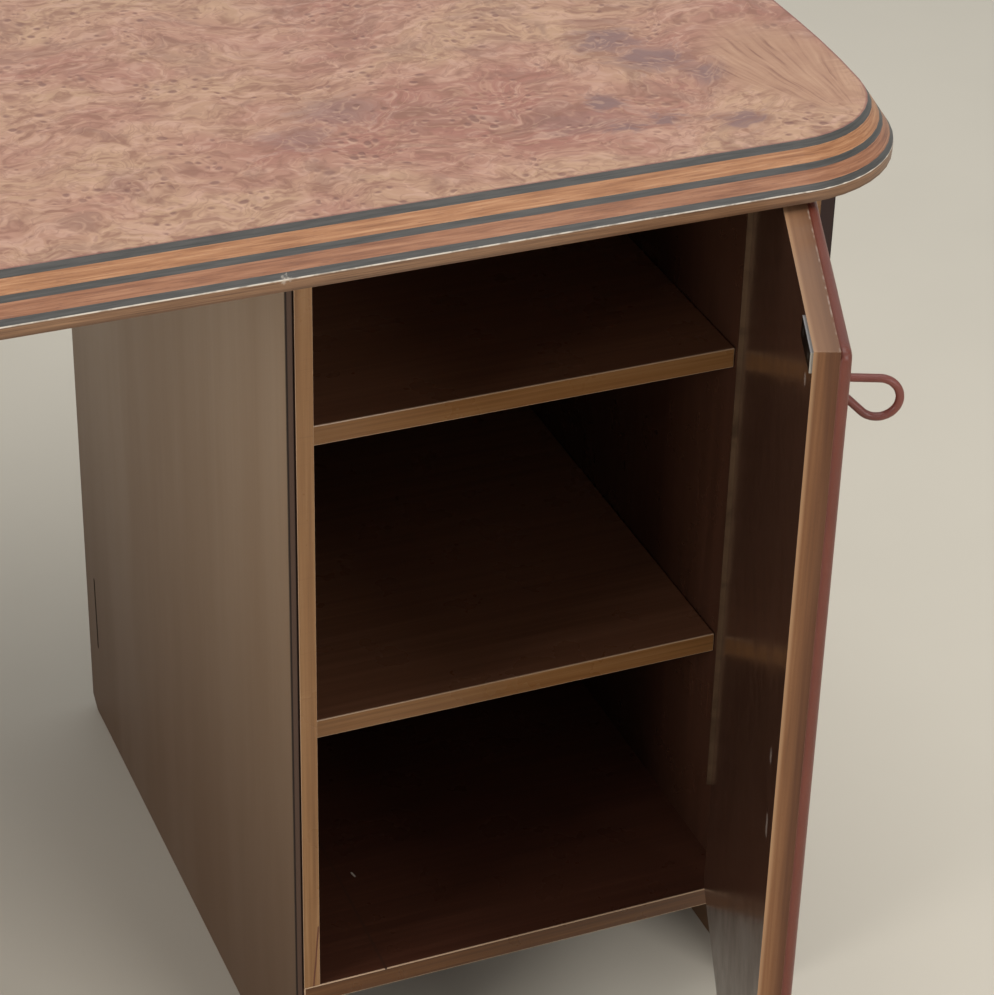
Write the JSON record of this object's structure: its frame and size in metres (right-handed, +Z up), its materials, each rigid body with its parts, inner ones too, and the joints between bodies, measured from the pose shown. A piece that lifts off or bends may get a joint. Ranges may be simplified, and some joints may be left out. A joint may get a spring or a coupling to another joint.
{
  "type": "executive_desk",
  "caption": "Twin-pedestal executive desk with a burr-walnut top, inlaid bevelled edge, leather-clad door and drawer fronts, and leather loop pulls",
  "frame": {"origin": "Middle of the desk's footprint on the floor, counted with the door open at its resting angle", "axes": "+X along the desk to the sitter's right, +Y away from the sitter, +Z up"},
  "size_m": [1.98, 0.9512, 0.7346],
  "materials": {
    "burr_walnut": "satin lacquered burr veneer",
    "golden_walnut": "satin lacquered straight-grain band",
    "red_walnut": "satin lacquered straight-grain band",
    "dark_inlay": "satin dark inlay",
    "lip_walnut": "satin lacquered edge",
    "gable_veneer": "satin vertical-grain veneer",
    "carcass_walnut": "glossy dark polish",
    "front_walnut": "glossy dark polish",
    "red_leather": "semi-matt padded leather",
    "cord_leather": "smooth round leather cord",
    "brass": "dark aged brass",
    "steel": "zinc-plated steel",
    "catch_plastic": "moulded catch case"
  },
  "bodies": {
    "desk": {"top_base": "lip_walnut", "top_field": "burr_walnut", "top_inlay_inner": "dark_inlay", "top_band_upper": "golden_walnut", "top_inlay_middle": "dark_inlay", "top_band_lower": "red_walnut", "top_inlay_outer": "dark_inlay", "top_screws": "steel", "right_inner_gable": "gable_veneer", "right_inner_wall": "carcass_walnut", "right_outer_wall": "carcass_walnut", "right_outer_gable": "gable_veneer", "right_bottom": "carcass_walnut", "right_back": "carcass_walnut", "right_carcass_top": "carcass_walnut", "left_inner_gable": "gable_veneer", "left_inner_wall": "carcass_walnut", "left_outer_wall": "carcass_walnut", "left_outer_gable": "gable_veneer", "left_bottom": "carcass_walnut", "left_back": "carcass_walnut", "left_carcass_top": "carcass_walnut", "shelf_lower": "carcass_walnut", "shelf_upper": "carcass_walnut", "shelf_pins": "brass", "hinge_wall_leaf": "brass", "hinge_pin": "brass", "hinge_wall_screws": "brass", "door_catch": "catch_plastic", "fixed_runners": "steel", "modesty_panel": "gable_veneer"},
    "door": {"door_board": "front_walnut", "door_leather": "red_leather", "door_pull": "cord_leather", "hinge_door_leaf": "brass", "hinge_door_screws": "brass", "strike_plate": "steel", "strike_screws": "steel"},
    "drawer_1": {"drawer_1_front": "front_walnut", "drawer_1_leather": "red_leather", "drawer_1_pull": "cord_leather", "drawer_1_sides": "carcass_walnut", "drawer_1_back": "carcass_walnut", "drawer_1_bottom": "carcass_walnut", "drawer_1_runners": "steel"},
    "drawer_2": {"drawer_2_front": "front_walnut", "drawer_2_leather": "red_leather", "drawer_2_pull": "cord_leather", "drawer_2_sides": "carcass_walnut", "drawer_2_back": "carcass_walnut", "drawer_2_bottom": "carcass_walnut", "drawer_2_runners": "steel"},
    "drawer_3": {"drawer_3_front": "front_walnut", "drawer_3_leather": "red_leather", "drawer_3_pull": "cord_leather", "drawer_3_sides": "carcass_walnut", "drawer_3_back": "carcass_walnut", "drawer_3_bottom": "carcass_walnut", "drawer_3_runners": "steel"}
  },
  "joints": [
    {"name": "door_hinge", "type": "hinge", "parent": "desk", "child": "door", "pos_m": [0.9513, -0.19854, 0.448], "axis": [0, 0, 1], "range_deg": [-68.8, 31.2]},
    {"name": "drawer_1_slide", "type": "slide", "parent": "desk", "child": "drawer_1", "axis": [0, -1, 0], "range_m": [0, 0.36]},
    {"name": "drawer_2_slide", "type": "slide", "parent": "desk", "child": "drawer_2", "axis": [0, -1, 0], "range_m": [0, 0.36]},
    {"name": "drawer_3_slide", "type": "slide", "parent": "desk", "child": "drawer_3", "axis": [0, -1, 0], "range_m": [0, 0.36]}
  ]
}
